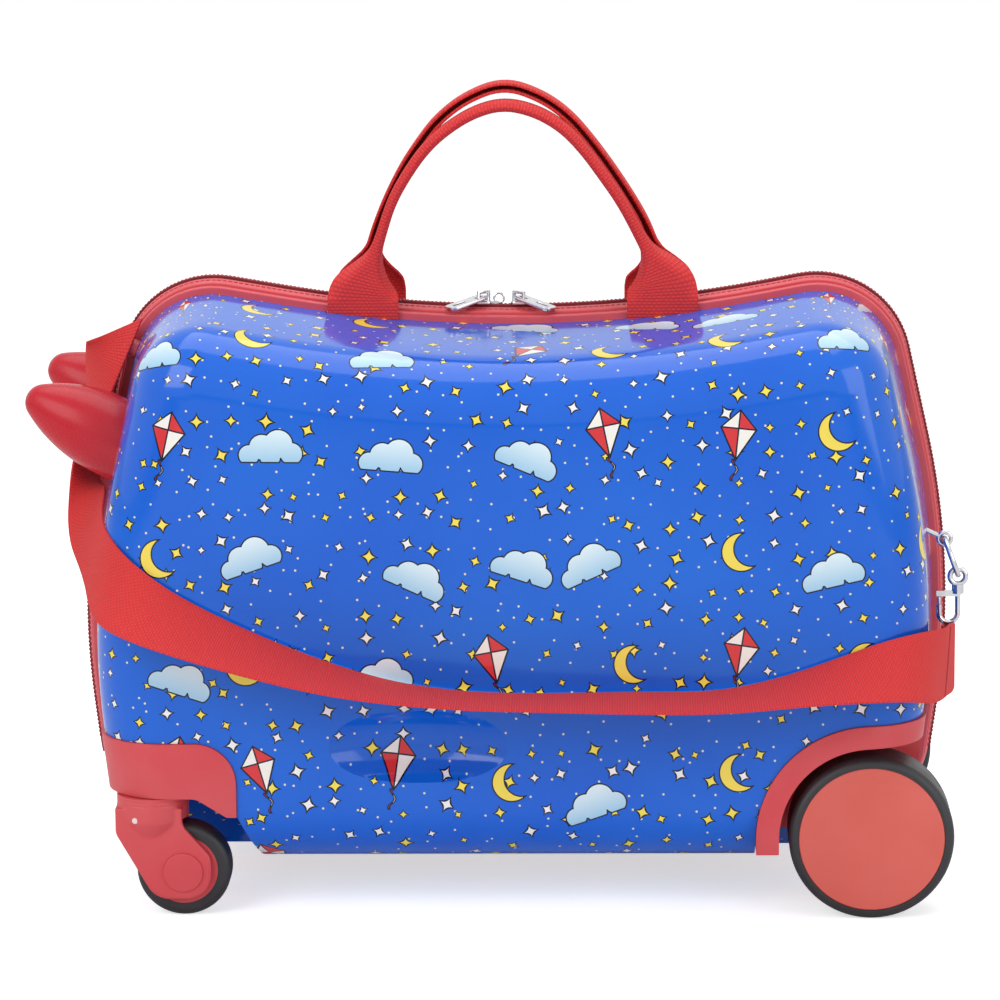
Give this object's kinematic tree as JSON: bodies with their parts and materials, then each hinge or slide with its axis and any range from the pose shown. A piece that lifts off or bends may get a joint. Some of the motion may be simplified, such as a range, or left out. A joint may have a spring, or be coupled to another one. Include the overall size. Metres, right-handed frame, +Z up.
{
  "type": "ride-on suitcase",
  "caption": "Child's ride-on suitcase: moulded shell halves joined by a zip and a hinge, with grip horns, swivel casters, rear wheels in arches, webbing handles and a clip-on tow strap.",
  "frame": {"origin": "on the floor, under the middle of the case's box, midway between its two sides", "axes": "+Z up, +X towards the rear wheels, so the horns look along -X; the zip lies in the XZ plane and the left half, with the strap, lies towards -Y"},
  "size_m": [0.5023, 0.2725, 0.4285],
  "materials": {
    "printed_shell": "glossy blue moulded shell with a pale printed sky design",
    "lining_cloth": "thin dark lining cloth",
    "red_rail": "satin red extruded rail",
    "zip_tape": "red woven tape with a nylon coil",
    "horn_red": "satin red soft-touch plastic",
    "red_plastic": "satin red moulded plastic",
    "wheel_red": "finely grained matt red plastic",
    "white_plastic": "plain white plastic",
    "dark_tyre": "dark grey soft tyre",
    "red_webbing": "woven red webbing",
    "chromed": "bright chromed metal",
    "steel": "plain zinc-plated steel"
  },
  "bodies": {
    "right_half": {"right_shell": "printed_shell", "right_lining": "lining_cloth", "right_zip_rail": "red_rail", "right_zip_tape": "zip_tape", "right_horn": "horn_red", "right_horn_screw": "steel", "right_wheel_arch": "red_plastic", "right_arch_screws": "steel", "right_caster_bracket": "red_plastic", "right_handle_tabs": "red_webbing", "right_rear_axle": "steel", "right_wheel_spacer": "red_plastic", "right_king_pin": "steel", "right_hinge_leaf": "steel", "hinge_pin": "steel"},
    "left_half": {"left_shell": "printed_shell", "left_lining": "lining_cloth", "left_zip_rail": "red_rail", "left_zip_tape": "zip_tape", "left_horn": "horn_red", "left_horn_screw": "steel", "left_wheel_arch": "red_plastic", "left_arch_screws": "steel", "left_caster_bracket": "red_plastic", "left_handle_tabs": "red_webbing", "left_rear_axle": "steel", "left_wheel_spacer": "red_plastic", "left_king_pin": "steel", "left_hinge_leaf": "steel", "front_strap_post": "red_plastic", "rear_strap_ring": "chromed", "rear_ring_eyelet": "chromed", "snap_hook": "chromed", "tow_strap": "red_webbing"},
    "hook_gate": {"snap_hook_gate": "chromed"},
    "front_slider": {"front_zip_slider": "chromed", "lock_ring": "chromed"},
    "rear_slider": {"rear_zip_slider": "chromed"},
    "front_pull": {"front_zip_pull": "chromed"},
    "rear_pull": {"rear_zip_pull": "chromed"},
    "left_caster": {"left_caster_fork": "red_plastic", "left_caster_axle": "steel", "left_caster_caps": "red_plastic", "left_fork_rivet": "white_plastic"},
    "left_caster_wheel": {"left_caster_tyre": "dark_tyre", "left_caster_hub": "red_plastic"},
    "left_rear_wheel": {"left_rear_tyre": "dark_tyre", "left_wheel_disc": "wheel_red"},
    "left_handle": {"left_carry_handle": "red_webbing"},
    "right_caster": {"right_caster_fork": "red_plastic", "right_caster_axle": "steel", "right_caster_caps": "red_plastic", "right_fork_rivet": "white_plastic"},
    "right_caster_wheel": {"right_caster_tyre": "dark_tyre", "right_caster_hub": "red_plastic"},
    "right_rear_wheel": {"right_rear_tyre": "dark_tyre", "right_wheel_disc": "wheel_red"},
    "right_handle": {"right_carry_handle": "red_webbing"}
  },
  "joints": [
    {"name": "lid_hinge", "type": "hinge", "parent": "right_half", "child": "left_half", "pos_m": [0, 0, 0.0216], "axis": [1, 0, 0], "range_deg": [0, 100]},
    {"name": "front_slider_run", "type": "hinge", "parent": "right_half", "child": "front_slider", "pos_m": [0.01242, 0, 1.03385], "axis": [0, 1, 0], "range_deg": [0, 7.5]},
    {"name": "rear_slider_run", "type": "hinge", "parent": "right_half", "child": "rear_slider", "pos_m": [0.01242, 0, 1.03385], "axis": [0, -1, 0], "range_deg": [0, 9.5]},
    {"name": "front_pull_swing", "type": "hinge", "parent": "front_slider", "child": "front_pull", "pos_m": [-0.00491, 0, 0.31521], "axis": [-0.5876, 0.809, 0.0142], "range_deg": [0, 110]},
    {"name": "rear_pull_swing", "type": "hinge", "parent": "rear_slider", "child": "rear_pull", "pos_m": [0.01419, 0, 0.315], "axis": [-0.5878, -0.809, -0.0014], "range_deg": [0, 110]},
    {"name": "hook_gate_swing", "type": "hinge", "parent": "left_half", "child": "hook_gate", "pos_m": [0.23889, -0.042, 0.15723], "axis": [0, -1, 0], "range_deg": [0, 30], "stiffness_Nm_per_rad": 0.01, "springref_deg": -5.73},
    {"name": "left_caster_swivel", "type": "hinge", "parent": "left_half", "child": "left_caster", "pos_m": [-0.18, -0.097, 0.03], "axis": [0, 0, 1], "continuous": true},
    {"name": "left_caster_roll", "type": "hinge", "parent": "left_caster", "child": "left_caster_wheel", "pos_m": [-0.1635, -0.097, 0.025], "axis": [0, 1, 0], "continuous": true},
    {"name": "left_wheel_roll", "type": "hinge", "parent": "left_half", "child": "left_rear_wheel", "pos_m": [0.2, -0.099, 0.0435], "axis": [0, 1, 0], "continuous": true},
    {"name": "left_handle_swing", "type": "hinge", "parent": "left_half", "child": "left_handle", "pos_m": [0, -0.0199, 0.31615], "axis": [1, 0, 0], "range_deg": [0, 95]},
    {"name": "right_caster_swivel", "type": "hinge", "parent": "right_half", "child": "right_caster", "pos_m": [-0.18, 0.097, 0.03], "axis": [0, 0, 1], "continuous": true},
    {"name": "right_caster_roll", "type": "hinge", "parent": "right_caster", "child": "right_caster_wheel", "pos_m": [-0.1635, 0.097, 0.025], "axis": [0, 1, 0], "continuous": true},
    {"name": "right_wheel_roll", "type": "hinge", "parent": "right_half", "child": "right_rear_wheel", "pos_m": [0.2, 0.099, 0.0435], "axis": [0, 1, 0], "continuous": true},
    {"name": "right_handle_swing", "type": "hinge", "parent": "right_half", "child": "right_handle", "pos_m": [0, 0.0199, 0.31615], "axis": [-1, 0, 0], "range_deg": [0, 95]}
  ]
}
